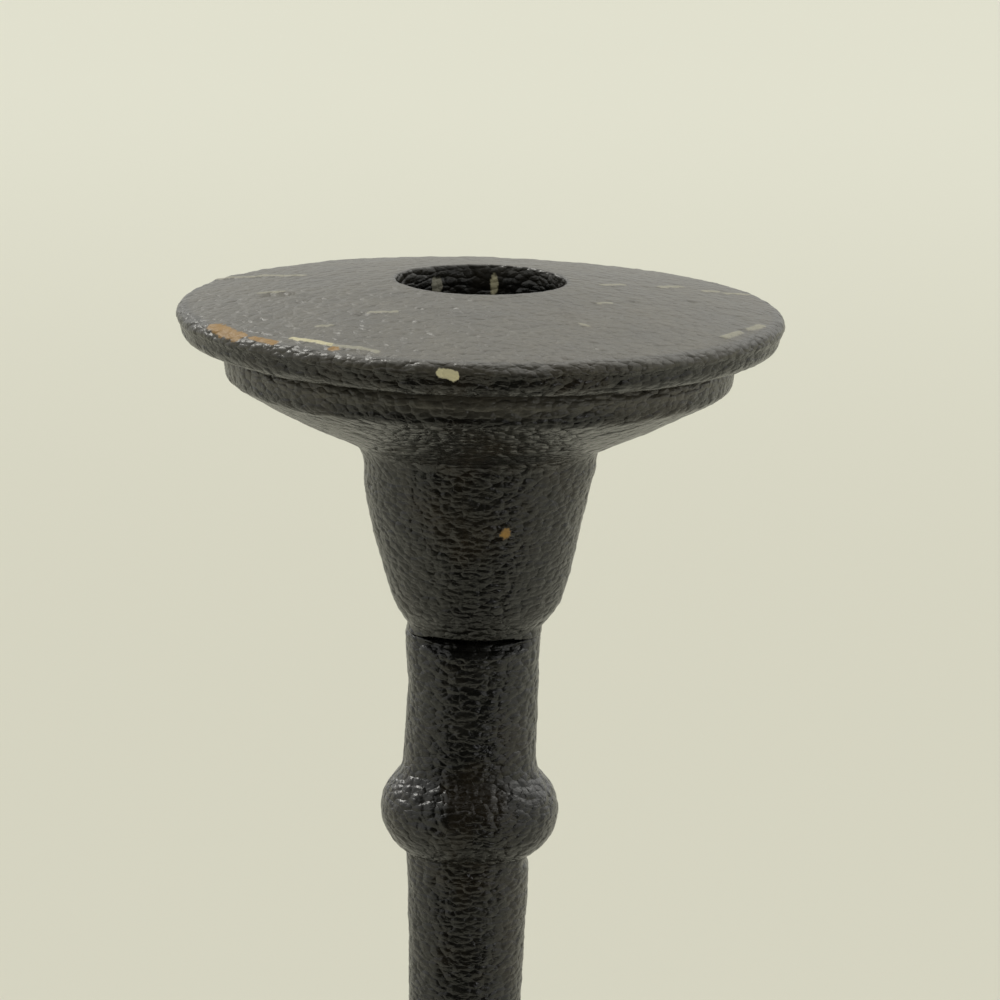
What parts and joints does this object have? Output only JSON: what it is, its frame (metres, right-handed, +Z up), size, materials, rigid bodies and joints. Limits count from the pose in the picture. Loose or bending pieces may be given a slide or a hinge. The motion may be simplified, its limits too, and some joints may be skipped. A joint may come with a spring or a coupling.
{
  "type": "candlestick",
  "caption": "Black painted cast candlestick: round drip pan with a taper candle socket, cup, beaded column and round stepped base, stacked on a tie rod.",
  "frame": {"origin": "middle of the underside of the felt ring, where the candlestick stands", "axes": "+Z up along the column's axis to the candle socket; the shape is turned about Z, and +Y points away from the picture's camera"},
  "size_m": [0.112, 0.112, 0.24],
  "materials": {
    "painted_iron": "thick black paint over a rough sand casting, satin",
    "zinc_steel": "zinc plated, dull",
    "felt": "pressed wool felt"
  },
  "bodies": {
    "root": {"head": "painted_iron", "neck_knop": "painted_iron", "column": "painted_iron", "foot_knop": "painted_iron", "base": "painted_iron", "tie_rod": "zinc_steel", "plain_washer": "zinc_steel", "spring_washer": "zinc_steel", "hex_nut": "zinc_steel", "felt_ring": "felt"}
  },
  "joints": []
}
